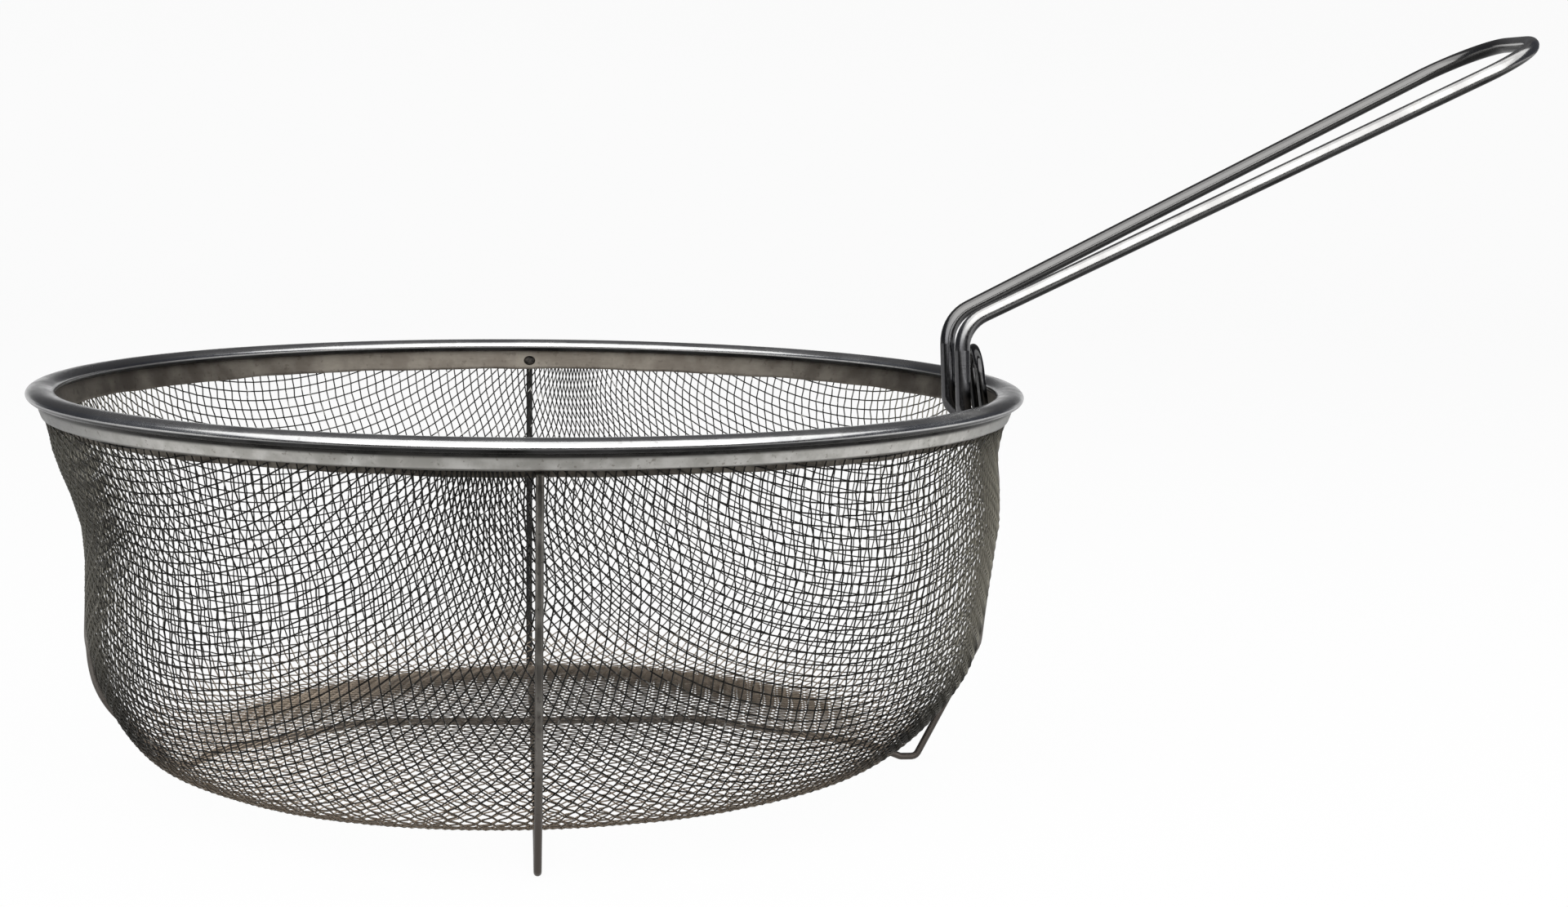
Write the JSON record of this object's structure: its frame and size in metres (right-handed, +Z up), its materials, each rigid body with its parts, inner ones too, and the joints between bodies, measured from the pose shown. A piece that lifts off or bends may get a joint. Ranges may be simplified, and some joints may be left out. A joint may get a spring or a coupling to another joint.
{
  "type": "deep fryer basket",
  "caption": "Round wire-cloth frying basket with a rolled rim, wire legs bent into feet, and a long rising loop handle with a hanger loop at the rim.",
  "frame": {"origin": "on the bowl's axis, in the plane that the four feet stand on", "axes": "+Z up along the bowl's axis, +X from the bowl's axis out along the handle"},
  "size_m": [0.5059, 0.33, 0.2538],
  "materials": {
    "rim": "dull plated steel sheet, lightly mottled",
    "cloth": "dark oiled woven steel wire",
    "leg": "dull drawn wire",
    "handle": "bright plated wire, slightly worn"
  },
  "bodies": {
    "root": {"rim_band": "rim", "mesh_bowl": "cloth", "leg_wire_side": "leg", "leg_wire_front": "leg", "handle": "handle", "hanger_loop": "handle"}
  },
  "joints": []
}
